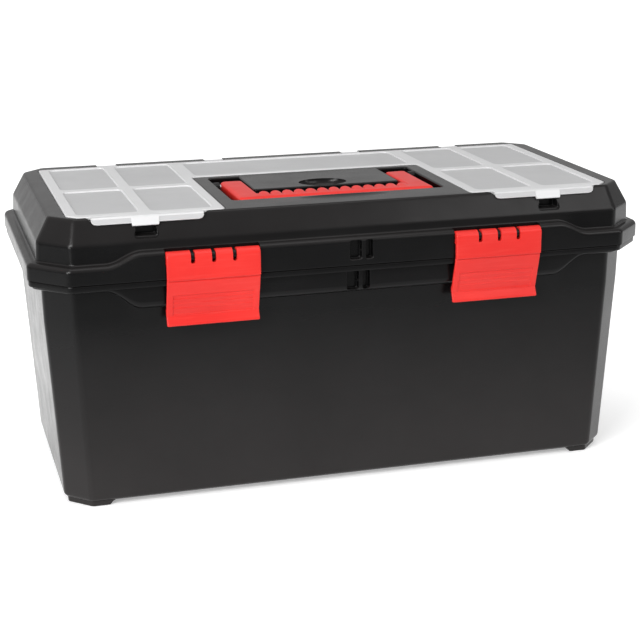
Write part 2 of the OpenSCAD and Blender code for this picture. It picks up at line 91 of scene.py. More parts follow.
FLOOR_Z = 5.0
WALL_Z = 217.5
SHOULDER_Z = 235.0
FLANGE_HIGH, FLANGE_LOW = 228.0, 218.5
BAND_DEEP, BAND_LOW = 177.0, 194.5
BEND_IN, BEND_OUT = 184.0, 214.0         # ends of the S bend in flange and band
TUB_WALL, LID_WALL = 2.6, 2.5

REBATE = TOP - 2.5                       # seat of the organiser cover
BIN_FLOOR = REBATE - 31
BIN_X = (115.5, 172.5, 178.5, 236.0)
BIN_Y = (-108.0, -7.0, -1.0, 100.0)
REAR_BIN = (-105.5, 36.0, 105.5, 100.0)
GAP_HALF = 109.5                         # half the gap between the wings of the cover
STRIP_FRONT = 27.0
RECESS = (-96.0, -84.0, 96.0, 18.0)      # handle recess
RECESS_FLOOR = 243.5
ISLAND_HALF, ISLAND_FRONT = 67.5, -44.0
SCOOP_Y = -28.0

LATCH_HALF = 39.5
SLOT_PITCH, SLOT_HALF = 17.6, 1.8
HINGE_X, HINGE_HALF = 150.0, 46.0
TUB_KNUCKLES = ((-45, -27), (-9, 9), (27, 45))
LID_KNUCKLES = ((-26.5, -9.5), (9.5, 26.5))
KNUCKLE_R, PIN_R = 5.5, 2.0
LOCK_LEFT, LOCK_RIGHT = -8.0, 12.5
LOCK_RIB = (2.5, 6.0)
LIP_X, LIP_HALF = 176.0, 46.5
CLIP_X, CLIP_HALF, NOTCH_HALF = 178.5, 11.5, 8.5
TAB_X = (-175.0, -70.0, 70.0, 175.0)
COVER_FRONT, COVER_BACK = -116.0, 105.0
WING_CUT = 9.0                           # corner cut of the cover
GRIP_LINES = (185.6, 181.4, 177.2)       # heights of the ridges on a latch
OUTSIDE = -150.0                         # a depth clear of the front
SIDES = (-1, 1)


# ------------------------------------------------------------------- mesh building blocks

def lerp(a, b, t):
    return a + (b - a) * t


def blend_step(value, low, high):
    """0 below low, 1 above high, eased in between."""
    t = min(1.0, max(0.0, (value - low) / (high - low)))
    return (1 - math.cos(math.pi * t)) / 2


def bend(x, middle, far):
    """Height of an edge that is level in the middle and bends in an S to its far level."""
    return lerp(middle, far, blend_step(abs(x), BEND_IN, BEND_OUT))


HALF_STATIONS = [30, 60, 90, 120, 150, 170, 178] + [BEND_IN + 2.5 * i for i in range(15)]
X_STATIONS = [-x for x in reversed(HALF_STATIONS)] + [0] + HALF_STATIONS
Y_SHARES = (-1, -0.985, -0.97, -0.955, -0.94, -0.7, -0.35, 0, 0.35, 0.7, 0.94, 0.955, 0.97, 0.985, 1)
ARC_STEPS = 6


def octagon(half_l, half_d, cut, radius):
    """Rounded octagon in plan, anticlockwise from the left of the front, as (x, y, corner):
    corner is 1 at the four corners and eases to 0 along the straight sides."""
    radius = max(radius, 0.6)
    tangent = radius * math.tan(math.pi / 8)
    corners = [(half_l - cut, -half_d), (half_l, cut - half_d), (half_l, half_d - cut),
               (half_l - cut, half_d), (cut - half_l, half_d), (-half_l, half_d - cut),
               (-half_l, cut - half_d), (cut - half_l, -half_d)]
    reach = half_d - cut - tangent
    front = [(x, -half_d, blend_step(abs(x), 212, 217)) for x in X_STATIONS]
    right = [(half_l, s * reach, blend_step(abs(s), 0.94, 1)) for s in Y_SHARES]
    straight = {0: front, 2: right,
                4: [(-x, -y, c) for x, y, c in front], 6: [(-x, -y, c) for x, y, c in right]}
    points = []
    for side, (x, y) in enumerate(corners):
        points += straight.get(side, [])
        heading = side * math.pi / 4
        cx = x - tangent * math.cos(heading) - radius * math.sin(heading)
        cy = y - tangent * math.sin(heading) + radius * math.cos(heading)
        for step in range(ARC_STEPS + 1):
            angle = heading - math.pi / 2 + math.pi / 4 * step / ARC_STEPS
            points.append((cx + radius * math.cos(angle), cy + radius * math.sin(angle), 1))
    return points


def inset(outline, d):
    """The outline moved inwards by d."""
    half_l, half_d, cut, radius = outline
    return half_l - d, half_d - d, cut - 0.586 * d, radius - d


def between(low, high, t):
    return tuple(lerp(a, b, t) for a, b in zip(low, high))


def ring(outline, height, push=None):
    """One level of a moulding. Its height and a push inwards at front and back may vary."""
    points = []
    for x, y, corner in octagon(*outline):
        z = height(x, corner) if callable(height) else height
        if push:
            y -= math.copysign(push(x), y)
        points.append((x, y, z))
    return points


def cap(mesh, loop):
    """Closes a ring: strips from front to back on a moulding, one face elsewhere."""
    count = len(X_STATIONS)
    back = count + len(Y_SHARES) + 4 * (ARC_STEPS + 1)
    if len(loop) != 2 * back:
        mesh.faces.new(loop)
        return
    for i in range(count - 1):
        mesh.faces.new((loop[i], loop[i + 1], loop[back + count - 2 - i], loop[back + count - 1 - i]))
    mesh.faces.new(loop[count - 1:back + 1])
    mesh.faces.new(loop[back + count - 1:] + loop[:1])


def skin(rings, turn=None):
    """Closed mesh through rings of equal length, with both ends capped."""
    mesh = bmesh.new()
    loops = [[mesh.verts.new(Vector(p)) for p in points] for points in rings]
    for low, high in zip(loops, loops[1:]):
        for i, a in enumerate(low):
            j = (i + 1) % len(low)
            mesh.faces.new((a, low[j], high[j], high[i]))
    cap(mesh, loops[0])
    cap(mesh, loops[-1])
    if turn:
        mesh.transform(turn)
    bmesh.ops.recalc_face_normals(mesh, faces=mesh.faces)
    return mesh


def rounded(corners, steps=4):
    """Closed outline whose corners, each (u, v, radius), are turned into arcs."""
    loop = []
    for i, (u, v, radius) in enumerate(corners):
        here = Vector((u, v))
        if radius == 0:
            loop.append(here)
            continue
        back = (Vector(corners[i - 1][:2]) - here).normalized()
        ahead = (Vector(corners[(i + 1) % len(corners)][:2]) - here).normalized()
        half = back.angle(ahead) / 2
        centre = here + (back + ahead).normalized() * radius / math.sin(half)
        start = here + back * radius / math.tan(half) - centre
        end = here + ahead * radius / math.tan(half) - centre
        sweep = math.pi - 2 * half
        for k in range(steps + 1):
            t = k / steps
            spoke = start * math.sin((1 - t) * sweep) + end * math.sin(t * sweep)
            loop.append(centre + spoke / math.sin(sweep))
    return loop


def rectangle(x0, y0, x1, y1, radius, steps=4):
    return rounded([(x0, y0, radius), (x1, y0, radius), (x1, y1, radius), (x0, y1, radius)], steps)


def shrink(loop, d):
    """A closed anticlockwise outline moved inwards by d."""
    moved = []
    for i, here in enumerate(loop):
        a = (here - loop[i - 1]).normalized()
        b = (loop[(i + 1) % len(loop)] - here).normalized()
        na, nb = Vector((-a.y, a.x)), Vector((-b.y, b.x))
        moved.append(here + (na + nb) * d / max(0.3, 1 + na.dot(nb)))
    return moved


def levels(low, high, foot, head, steps=4):
    """Levels (w, inset) of a block whose lower and upper edges are rounded.
    A negative radius flares the edge outwards, as the mouth of a pocket."""
    rows = []
    for k in range(steps + 1):
        a = math.pi / 2 * k / steps
        rows.append((low + abs(foot) * (1 - math.cos(a)), foot * (1 - math.sin(a))))
    for k in range(steps + 1):
        a = math.pi / 2 * k / steps
        if head >= 0:
            rows.append((high - head * (1 - math.sin(a)), head * (1 - math.cos(a))))
        else:
            rows.append((high + head * (1 - math.sin(a)), head * (1 - math.cos(a))))
    return [row for i, row in enumerate(rows) if i == 0 or row != rows[i - 1]]


def extrude(loop, rows, turn=None):
    """Solid drawn up from an outline through its levels."""
    return skin([[(p.x, p.y, w) for p in shrink(loop, d)] for w, d in rows], turn)


ALONG_X = Matrix(((0, 0, 1, 0), (1, 0, 0, 0), (0, 1, 0, 0), (0, 0, 0, 1)))
TO_FRONT = Matrix.Rotation(math.pi / 2, 4, "X")


def bar(loop, x0, x1, edge=0.0, steps=3):
    """Outline in (y, z) drawn out along X, with rounded ends."""
    return extrude(loop, levels(x0, x1, edge, edge, steps), ALONG_X)


def circle(y, z, radius, count=32):
    return [Vector((y + radius * math.cos(2 * math.pi * i / count),
                    z + radius * math.sin(2 * math.pi * i / count))) for i in range(count)]


def rod(x0, x1, y, z, radius, edge=0.0):
    return bar(circle(y, z, radius), x0, x1, edge)


def pocket(x0, y0, x1, y1, floor, mouth, corner=3.0, foot=2.0, flare=1.0, above=2.0, turn=None):
    """Cutter for a pocket with rounded corners, a filleted floor and a softened mouth."""
    rows = levels(floor, mouth + 0.02, foot, -flare if flare else 0) + [(mouth + above, -flare)]
    return extrude(rectangle(x0, y0, x1, y1, corner), rows, turn)


# ------------------------------------------------------------------------- solids and looks

def solid(name, mesh):
    """A Blender object from a mesh in millimetres."""
    mesh.transform(Matrix.Scale(MM, 4))
    data = bpy.data.meshes.new(name)
    mesh.to_mesh(data)
    mesh.free()
    piece = bpy.data.objects.new(name, data)
    scene.collection.objects.link(piece)
    return piece


def taken_back(piece):
    """The mesh of a helper object in millimetres again; the object goes."""
    mesh = bmesh.new()
    mesh.from_mesh(piece.data)
    mesh.transform(Matrix.Scale(1 / MM, 4))
    bpy.data.objects.remove(piece)
    return mesh


def combine(target, mesh, operation):
    """Adds a mesh to a solid, or cuts it away."""
    tool = solid("tool", mesh)
    step = target.modifiers.new("step", "BOOLEAN")
    step.object, step.operation, step.solver = tool, operation, "MANIFOLD"
    graph = bpy.context.evaluated_depsgraph_get()
    result = bpy.data.meshes.new_from_object(target.evaluated_get(graph))
    target.modifiers.remove(step)
    if len(result.polygons) == 0:
        raise RuntimeError(f"{target.name}: {operation} left nothing")
    old, target.data = target.data, result
    bpy.data.meshes.remove(old)
    bpy.data.objects.remove(tool)


def add(target, *meshes):
    for mesh in meshes:
        combine(target, mesh, "UNION")


def cut(target, *meshes):
    for mesh in meshes:
        combine(target, mesh, "DIFFERENCE")


def paint(piece, *materials):
    """Gives a piece its materials; every face starts with the first."""
    piece.data.materials.clear()
    for material in materials:
        piece.data.materials.append(material)
    for face in piece.data.polygons:
        face.material_index = 0


def finish_piece(piece, material, body, slot, *nodes, sharp=32):
    """Smooth shading with crisp edges, material, body and the CAD nodes it stands for."""
    mesh = bmesh.new()
    mesh.from_mesh(piece.data)
    bmesh.ops.remove_doubles(mesh, verts=mesh.verts, dist=2e-6)
    bmesh.ops.dissolve_degenerate(mesh, edges=mesh.edges, dist=1e-6)
    mesh.to_mesh(piece.data)
    mesh.free()
    if material:
        paint(piece, material)
    piece.data.shade_smooth()
    piece.data.set_sharp_from_angle(angle=math.radians(sharp))
    weighted = piece.modifiers.new("normals", "WEIGHTED_NORMAL")
    weighted.keep_sharp = True
    weighted.weight = 60
    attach(piece, body)
    if nodes:
        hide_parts(*nodes)
    return piece


def node_tree(name):
    material = bpy.data.materials.new(name)
    material.use_nodes = True
    return material, material.node_tree.nodes, material.node_tree.links


def noise(nodes, links, place, scale, detail=3.0, roughness=0.5, stretch=None):
    """Noise in object space; scale is cycles per metre."""
    source = place.outputs["Object"]
    if stretch:
        mapping = nodes.new("ShaderNodeMapping")
        mapping.inputs["Scale"].default_value = stretch
        links.new(source, mapping.inputs["Vector"])
        source = mapping.outputs["Vector"]
    texture = nodes.new("ShaderNodeTexNoise")
    texture.inputs["Scale"].default_value = scale
    texture.inputs["Detail"].default_value = detail
    texture.inputs["Roughness"].default_value = roughness
    links.new(source, texture.inputs["Vector"])
    return texture.outputs["Fac"]


def spread(nodes, links, value, low_in, high_in, low_out, high_out):
    """Maps a value from one range to another."""
    node = nodes.new("ShaderNodeMapRange")
    for socket, number in zip(("From Min", "From Max", "To Min", "To Max"),
                              (low_in, high_in, low_out, high_out)):
        node.inputs[socket].default_value = number
    links.new(value, node.inputs["Value"])
    return node.outputs["Result"]


def maths(nodes, links, operation, first, second):
    node = nodes.new("ShaderNodeMath")
    node.operation = operation
    links.new(first, node.inputs[0])
    links.new(second, node.inputs[1])
    return node.outputs["Value"]


def two_tone(nodes, links, value, dark, light, low=0.0, high=1.0):
    """Colour that runs from dark at low to light at high."""
    tone = nodes.new("ShaderNodeValToRGB")
    first, last = tone.color_ramp.elements
    first.position, last.position = low, high
    first.color, last.color = (*dark, 1), (*light, 1)
    links.new(value, tone.inputs["Fac"])
    return tone


def overlaid(nodes, links, colour, share, film):
    """A colour with a second, plain one laid over it by a share."""
    mix = nodes.new("ShaderNodeMix")
    mix.data_type = "RGBA"
    below, above = (s for s in mix.inputs if s.type == "RGBA")
    above.default_value = (*film, 1)
    links.new(share, mix.inputs["Factor"])
    links.new(colour, below)
    return next(s for s in mix.outputs if s.type == "RGBA")


def bumped(nodes, links, height, distance, under=None):
    """Normal of a relief, on top of another one where given."""
    bump = nodes.new("ShaderNodeBump")
    bump.inputs["Distance"].default_value = distance
    links.new(height, bump.inputs["Height"])
    if under:
        links.new(under, bump.inputs["Normal"])
    return bump.outputs["Normal"]


def dust_and_floor_light(nodes, links, place, colour, dust_and_floor_light_colour):
    """A thin film of one colour: dust on faces that look up, and painted floor light that makes it
    thicker towards the floor over the lowest 17 cm.
    """
    split = nodes.new("ShaderNodeSeparateXYZ")
    links.new(place.outputs["Object"], split.inputs["Vector"])
    # painted floor light: over the lowest 17 cm the film grows towards the floor, lightening the lower
    # faces
    height = spread(nodes, links, split.outputs["Z"], 0.17, 0.0, 0, 1)
    facing = nodes.new("ShaderNodeSeparateXYZ")
    links.new(place.outputs["Normal"], facing.inputs["Vector"])
    upward = spread(nodes, links, facing.outputs["Z"], 0.05, 0.6, 0, 0.6)
    either = maths(nodes, links, "MAXIMUM", height, upward)
    patchy = spread(nodes, links, noise(nodes, links, place, 9, 4, 0.6), 0.3, 0.7, 0.75, 1)
    return overlaid(nodes, links, colour, maths(nodes, links, "MULTIPLY", either, patchy), dust_and_floor_light_colour)


def moulded_plastic(name, dark, light, rough=(0.34, 0.44), grain=900.0, grain_depth=0.00003,
                    wave_depth=0.00022, scuff=0.12, scuff_colour=None, dust_and_floor_light_colour=None, **sockets):
    """Injection-moulded plastic: fine grain, faint sink waves, gloss patches and light scuffs."""
    material, nodes, links = node_tree(name)
    shader = nodes["Principled BSDF"]
    place = nodes.new("ShaderNodeTexCoord")
    for socket, value in sockets.items():
        shader.inputs[socket.replace("_", " ")].default_value = value
    cloud = noise(nodes, links, place, 14, 4)
    clean = two_tone(nodes, links, cloud, dark, light, 0.3, 0.7).outputs["Color"]
    streak = noise(nodes, links, place, 60, 2, 0.5, stretch=(0.5, 3, 9))
    worn = spread(nodes, links, streak, 0.50, 0.85, 0, scuff)
    scuffed = scuff_colour or [min(1, 2.5 * c + 0.02) for c in light]
    colour = overlaid(nodes, links, clean, worn, scuffed)
    # dust on faces that look up, and painted floor light on the lowest faces
    if dust_and_floor_light_colour:
        colour = dust_and_floor_light(nodes, links, place, colour, dust_and_floor_light_colour)
    links.new(colour, shader.inputs["Base Color"])
    patches = noise(nodes, links, place, 45, 3)
    gloss = spread(nodes, links, patches, 0.3, 0.7, rough[0], rough[1])
    links.new(maths(nodes, links, "ADD", gloss, worn), shader.inputs["Roughness"])
    fine = noise(nodes, links, place, grain, 2, 0.6)
    waves = noise(nodes, links, place, 22, 1, 0.4)
    sink = bumped(nodes, links, waves, wave_depth)
    links.new(bumped(nodes, links, fine, grain_depth, sink), shader.inputs["Normal"])
    return material


def drawn_steel(name):
    """Drawn wire: fine lines along X and dull patches."""
    material, nodes, links = node_tree(name)
    shader = nodes["Principled BSDF"]
    shader.inputs["Metallic"].default_value = 1.0
    place = nodes.new("ShaderNodeTexCoord")
    cloud = noise(nodes, links, place, 120, 3)
    tone = two_tone(nodes, links, cloud, (0.42, 0.43, 0.45), (0.66, 0.67, 0.69))
    links.new(tone.outputs["Color"], shader.inputs["Base Color"])
    lines = noise(nodes, links, place, 900, 2, 0.6, stretch=(0.03, 1, 1))
    links.new(spread(nodes, links, lines, 0.3, 0.7, 0.22, 0.45), shader.inputs["Roughness"])
    links.new(bumped(nodes, links, lines, 0.00004), shader.inputs["Normal"])
    return material


# its film colour is dust on faces that look up and painted floor light on the lowest faces
black = moulded_plastic("black_polypropylene", (0.0025, 0.0025, 0.0026), (0.0045, 0.0045, 0.0047),
                        rough=(0.18, 0.25), scuff=0.03, dust_and_floor_light_colour=(0.024, 0.022, 0.0218),
                        Specular_IOR_Level=0.16)
red = moulded_plastic("red_polypropylene", (0.63, 0.019, 0.015), (0.70, 0.026, 0.020),
                      rough=(0.34, 0.42), grain=700, wave_depth=0.0002, scuff=0.08,
                      scuff_colour=(0.90, 0.22, 0.18), Specular_IOR_Level=0.30)
frosted = moulded_plastic("frosted_panel", (0.475, 0.475, 0.48), (0.515, 0.515, 0.52),
                          rough=(0.38, 0.46), grain=1400, wave_depth=0.0001, scuff=0.02,
                          scuff_colour=(0.85, 0.85, 0.86), Transmission_Weight=0.12)
frosted_rib = moulded_plastic("frosted_rib", (0.62, 0.62, 0.625), (0.67, 0.67, 0.675),
                              rough=(0.30, 0.34), grain=1400, wave_depth=0.0001, scuff=0.02,
                              scuff_colour=(0.9, 0.9, 0.9), Transmission_Weight=0.08)
tray_grey = moulded_plastic("grey_polypropylene", (0.060, 0.060, 0.064), (0.078, 0.078, 0.083),
                            rough=(0.40, 0.52), scuff=0.15)
steel = drawn_steel("drawn_steel")


# ---------------------------------------------------------------------------------- tub

def lock_cutters(face, z0, z1):
    """The two halves of the padlock recess and the hole through the rib between them."""
    depth = 6.5
    cuts = []
    for x0, x1 in ((LOCK_LEFT, LOCK_RIB[0]), (LOCK_RIB[1], LOCK_RIGHT)):
        cuts.append(pocket(x0, z0, x1, z1, -face - depth, -face, corner=2.0, foot=0.8,
                           flare=0.9, above=4, turn=TO_FRONT))
    cuts.append(rod(LOCK_RIB[0] - 1, LOCK_RIB[1] + 1, face + depth / 2, (z0 + z1) / 2, 2.2))
    return cuts


def tub_wall(z):
    return between(FLOOR, MOUTH, (z - FLOOR_Z) / (LIP_TOP - FLOOR_Z))


def tub_inside(z):
    low, high = inset(FLOOR, TUB_WALL), inset(MOUTH, TUB_WALL)
    return between(low, high, (z - FLOOR_TOP) / (LIP_TOP - FLOOR_TOP))


def foot_height(level):
    """The base stands on its four corners; between them its rim is lifted."""
    return lambda x, corner: lerp(4.5, 0, corner) + min(level, lerp(0.35, 99, corner))


def band_edge(x):
    return bend(x, BAND_DEEP, BAND_LOW)


def band_round(x):
    """Radius of the rounded lower edge of the band."""
    return bend(x, 7.0, 3.0)


def knuckle(x0, x1, web_y, web_z):
    """Hinge knuckle with a web running into the moulding at (web_y, web_z)."""
    points = circle(hinge.y, hinge.z, KNUCKLE_R, 40)
    down = web_z < hinge.z
    kept = [p for p in points if (p.y >= hinge.z if down else p.y <= hinge.z)]
    kept.sort(key=lambda p: math.atan2(p.y - hinge.z, p.x - hinge.y) if down
              else math.atan2(p.y - hinge.z, -(p.x - hinge.y)))
    if down:
        outline = kept + [Vector((web_y, hinge.z)), Vector((web_y, web_z)), Vector((web_y + 2, web_z))]
    else:
        kept.reverse()
        outline = kept + [Vector((web_y + 3, web_z)), Vector((web_y, web_z)), Vector((web_y, hinge.z))]
    return bar(outline, x0, x1, 0.8)


def build_tub():
    rows = [ring(inset(FLOOR, 17), 5.0), ring(inset(FLOOR, 15), foot_height(0.6)),
            ring(inset(FLOOR, 14), foot_height(0)), ring(inset(FLOOR, 4.6), foot_height(0)),
            ring(inset(FLOOR, 3.6), foot_height(0.3)), ring(inset(FLOOR, 3.3), foot_height(1.0)),
            ring(inset(FLOOR, 3.3), FLOOR_Z)]
    edge = 4.2
    for k in range(1, 6):
        a = math.pi / 2 * k / 5
        z = FLOOR_Z + edge * (1 - math.cos(a))
        rows.append(ring(inset(tub_wall(z), edge * (1 - math.sin(a))), z))
    rows += [ring(tub_wall(z), z) for z in (12, 40, 80, 120, 150, 165)]
    rows.append(ring(tub_wall(176), lambda x, c: band_edge(x) - 1.2))
    rows.append(ring(tub_wall(188), lambda x, c: band_edge(x) + 0.2))
    for k in range(7):
        a = math.pi / 2 * k / 6
        rows.append(ring(BAND, lambda x, c, a=a: band_edge(x) + band_round(x) * (1 - math.cos(a)),
                         push=lambda x, a=a: band_round(x) * (1 - math.sin(a))))
    low = PARTING - 5
    rows += [ring(BAND, low - 0.6), ring(inset(BAND, -0.6), low)]
    rows += [ring(inset(RIM, d), z) for d, z in
             ((1.0, low), (0.3, low + 0.3), (0, low + 1.0), (0, PARTING - 1.0),
              (0.3, PARTING - 0.3), (1.0, PARTING))]
    rows += [ring(inset(MOUTH, -0.6), PARTING), ring(MOUTH, PARTING + 0.6)]
    rows += [ring(inset(MOUTH, d), z) for d, z in
             ((0, LIP_TOP - 0.8), (0.25, LIP_TOP - 0.2), (0.8, LIP_TOP),
              (TUB_WALL - 0.8, LIP_TOP), (TUB_WALL - 0.25, LIP_TOP - 0.2))]
    rows += [ring(tub_inside(z), z) for z in (LIP_TOP - 0.8, 180, 140, 100, 60, 30, 14)]
    fillet = 5.0
    for k in range(1, 6):
        a = math.pi / 2 * k / 5
        z = FLOOR_TOP + fillet * (1 - math.sin(a))
        rows.append(ring(inset(tub_inside(z), fillet * (1 - math.cos(a))), z))
    tub = solid("tub_body", skin(rows))

    seat = 193.0
    for side in SIDES:
        for y in (-60, 0, 60):
            low_x, high_x = 244.5, 250.0
            loop = rounded([(low_x, 6, 0), (252.0, 6, 0), (263.3, seat, 0),
                            (high_x, seat, 0.8), (high_x, seat - 20, 4)])
            turn = Matrix.Translation((0, y, 0)) @ TO_FRONT
            if side < 0:
                turn = Matrix.Translation((0, y, 0)) @ Matrix.Rotation(math.pi, 4, "Z") @ TO_FRONT
            add(tub, extrude(loop, levels(-1.5, 1.5, 0.4, 0.4, 2), turn))
    for side in SIDES:
        for x0, x1 in TUB_KNUCKLES:
            x = side * HINGE_X
            add(tub, knuckle(x + x0, x + x1, 131.0, PARTING - 12))
        for x0, x1 in LID_KNUCKLES:
            x = side * HINGE_X
            cut(tub, rod(x + x0 - 0.5, x + x1 + 0.5, hinge.y, hinge.z, KNUCKLE_R + 0.6))
        bore = (side * HINGE_X - HINGE_HALF, side * HINGE_X + HINGE_HALF)
        cut(tub, rod(*bore, hinge.y, hinge.z, PIN_R))
    cut(tub, *lock_cutters(-BAND[1], BAND_DEEP + 2.8, PARTING - 5.8))
    return finish_piece(tub, black, "tub", "black_plastic", "tub")


# ---------------------------------------------------------------------------------- lid

def lid_wall(z):
    return between(WALL, SHOULDER, (z - WALL_Z) / (SHOULDER_Z - WALL_Z))


def lid_slope(z):
    return between(SHOULDER, CROWN, (z - SHOULDER_Z) / (TOP - SHOULDER_Z))


def flange_top(x):
    return bend(x, FLANGE_HIGH, FLANGE_LOW)


def lid_shell():
    """Outer shape of the lid as one closed solid."""
    bottom = PARTING + 0.6
    rows = [ring(inset(SKIRT, 6), bottom), ring(inset(SKIRT, 0.9), bottom),
            ring(inset(SKIRT, 0.25), bottom + 0.25), ring(SKIRT, bottom + 0.9)]
    edge = 4.5
    for k in range(7):
        a = math.pi / 2 * k / 6
        rows.append(ring(inset(SKIRT, edge * (1 - math.cos(a))),
                         lambda x, c, a=a: flange_top(x) - edge * (1 - math.sin(a))))
    root = 1.6
    for k in range(4):
        a = math.pi / 2 * k / 3
        d = root * (1 - math.sin(a))
        rise = root * (1 - math.cos(a))
        rows.append(ring(inset(lid_wall(224), -d), lambda x, c, rise=rise: flange_top(x) + rise))
    rows += [ring(lid_wall(232.6), 232.6), ring(lid_wall(234), 234)]
    rows += [ring(inset(lid_slope(235.3), 0.12), 235.3), ring(lid_slope(236.6), 236.6)]
    rows += [ring(lid_slope(z), z) for z in (241, 247, 252)]
    rows += [ring(lid_slope(253.6), 253.6), ring(inset(lid_slope(254.5), 0.25), 254.5),
             ring(inset(CROWN, 0.9), 254.88), ring(inset(CROWN, 1.8), TOP)]
    return solid("lid_body", skin(rows))


def lid_hollow():
    """Hollow under the lid, less the outsides of its bins, recess and backings."""
    rows = [ring(inset(SKIRT, LID_WALL), 200), ring(inset(SKIRT, LID_WALL), FLANGE_LOW - LID_WALL - 2),
            ring(inset(SKIRT, LID_WALL + 2), FLANGE_LOW - LID_WALL),
            ring(inset(lid_wall(217), LID_WALL), FLANGE_LOW - LID_WALL + 0.2),
            ring(inset(SHOULDER, LID_WALL), SHOULDER_Z),
            ring(inset(CROWN, 5.0), REBATE - LID_WALL - 1), ring(inset(CROWN, 7.0), REBATE - LID_WALL)]
    hollow = solid("hollow", skin(rows))
    wall = 2.0
    for side in SIDES:
        x0, x1 = sorted((side * (BIN_X[0] - wall), side * (BIN_X[3] + wall)))
        block = rectangle(x0, BIN_Y[0] - wall, x1, BIN_Y[3] + wall, 4)
        cut(hollow, extrude(block, levels(BIN_FLOOR - wall, TOP + 5, 2.5, 0)))
        x, half = side * latch_axis.x, LATCH_HALF + 2.5
        backing = rectangle(x - half, OUTSIDE, x + half, 4 - WALL[1], 1)
        cut(hollow, extrude(backing, levels(latch_axis.z - 10, TOP + 5, 1, 0)))
    rear = rectangle(REAR_BIN[0] - wall, REAR_BIN[1] - wall, REAR_BIN[2] + wall, REAR_BIN[3] + wall, 4)
    cut(hollow, extrude(rear, levels(BIN_FLOOR - wall, TOP + 5, 2.5, 0)))
    grip = rectangle(RECESS[0] - 2.5, RECESS[1] - 2.5, RECESS[2] + 2.5, RECESS[3] + 2.5, 5)
    cut(hollow, extrude(grip, levels(RECESS_FLOOR - 2.5, TOP + 5, 2, 0)))
    lock = rectangle(LOCK_LEFT - 3, OUTSIDE, LOCK_RIGHT + 3, 4 - WALL[1], 1)
    cut(hollow, extrude(lock, levels(190, TOP + 5, 0, 0)))
    for x in TAB_X:
        tab = rectangle(x - 14, 103, x + 14, -OUTSIDE, 1)
        cut(hollow, extrude(tab, levels(cover_axis.z - 6, TOP + 5, 0, 0)))
    for side in SIDES:
        clip = rectangle(side * CLIP_X - 12, OUTSIDE, side * CLIP_X + 12, 5 - CROWN[1], 1)
        cut(hollow, extrude(clip, levels(TOP - 18, TOP + 5, 0, 0)))
    return hollow


def cover_outline(margin, back_gap, corner=4.0):
    """Plan of the cover: two wings joined by a strip behind the handle."""
    x, front, back = cover_high.x + margin, COVER_FRONT - margin, COVER_BACK + back_gap
    lip = 122.3
    inner, outer = LIP_X - LIP_HALF - margin, LIP_X + LIP_HALF + margin
    right = [(GAP_HALF - margin, STRIP_FRONT - margin, 3), (GAP_HALF - margin, front, corner),
             (inner - 4, front, 2.5), (inner, -lip, 1.5), (outer, -lip, 1.5), (outer + 3, front, 1.5),
             (x - WING_CUT, front, 3), (x, front + WING_CUT, 3), (x, back, 3)]
    left = [(-u, v, r) for u, v, r in reversed(right)]
    return rounded(right + left, 4)


def recess_cutter():
    """Handle recess round an island with softened edges."""
    cutter = solid("recess", pocket(*RECESS, RECESS_FLOOR, TOP, corner=3.5, foot=1.2, flare=1.6))
    island = rectangle(-ISLAND_HALF, ISLAND_FRONT, ISLAND_HALF, RECESS[3] + 6, 2.5)
    cut(cutter, extrude(island, levels(RECESS_FLOOR - 4, TOP - 0.06, 0, 1.4)))
    return cutter


def dish(x, y, z, rx, ry, rz, shallow=False, count=48, rows=10):
    """Bowl cutter with its rim at z: an ellipsoid, or a shallow dish."""
    rings = []
    for k in range(rows + 1):
        a = math.pi / 2 * (0.08 + 0.92 * k / rows)
        share = math.sin(a)
        depth = -rz * (1 - share * share if shallow else math.cos(a))
        rings.append([(x + rx * share * math.cos(2 * math.pi * i / count),
                       y + ry * share * math.sin(2 * math.pi * i / count), z + depth)
                      for i in range(count)])
    rings.append([(p[0], p[1], z + 3) for p in rings[-1]])
    return skin(rings)


def latch_notch(x):
    """Pocket in the flange for the knuckle of a latch."""
    y, z = latch_axis.y, latch_axis.z
    arc = [Vector((y + 6.0 * math.cos(a), z + 6.0 * math.sin(a)))
           for a in [math.pi * (1.5 + 0.5 * k / 10) for k in range(11)]]
    loop = arc + [Vector((y + 6.0, z + 30)), Vector((y - 20, z + 30)), Vector((y - 20, z - 6.0))]
    return bar(loop, x - LATCH_HALF - 0.5, x + LATCH_HALF + 0.5)


def latch_rib(x):
    """Rib in that pocket which holds the latch pin."""
    y, z = latch_axis.y, latch_axis.z
    arc = [Vector((y + 4 * math.cos(a), z + 4 * math.sin(a)))
           for a in [math.pi * (0.5 + k / 12) for k in range(13)]]
    loop = arc + [Vector((y + 8, z - 4)), Vector((y + 8, z + 4))]
    return bar(loop, x - 1.5, x + 1.5, 0.3, 2)


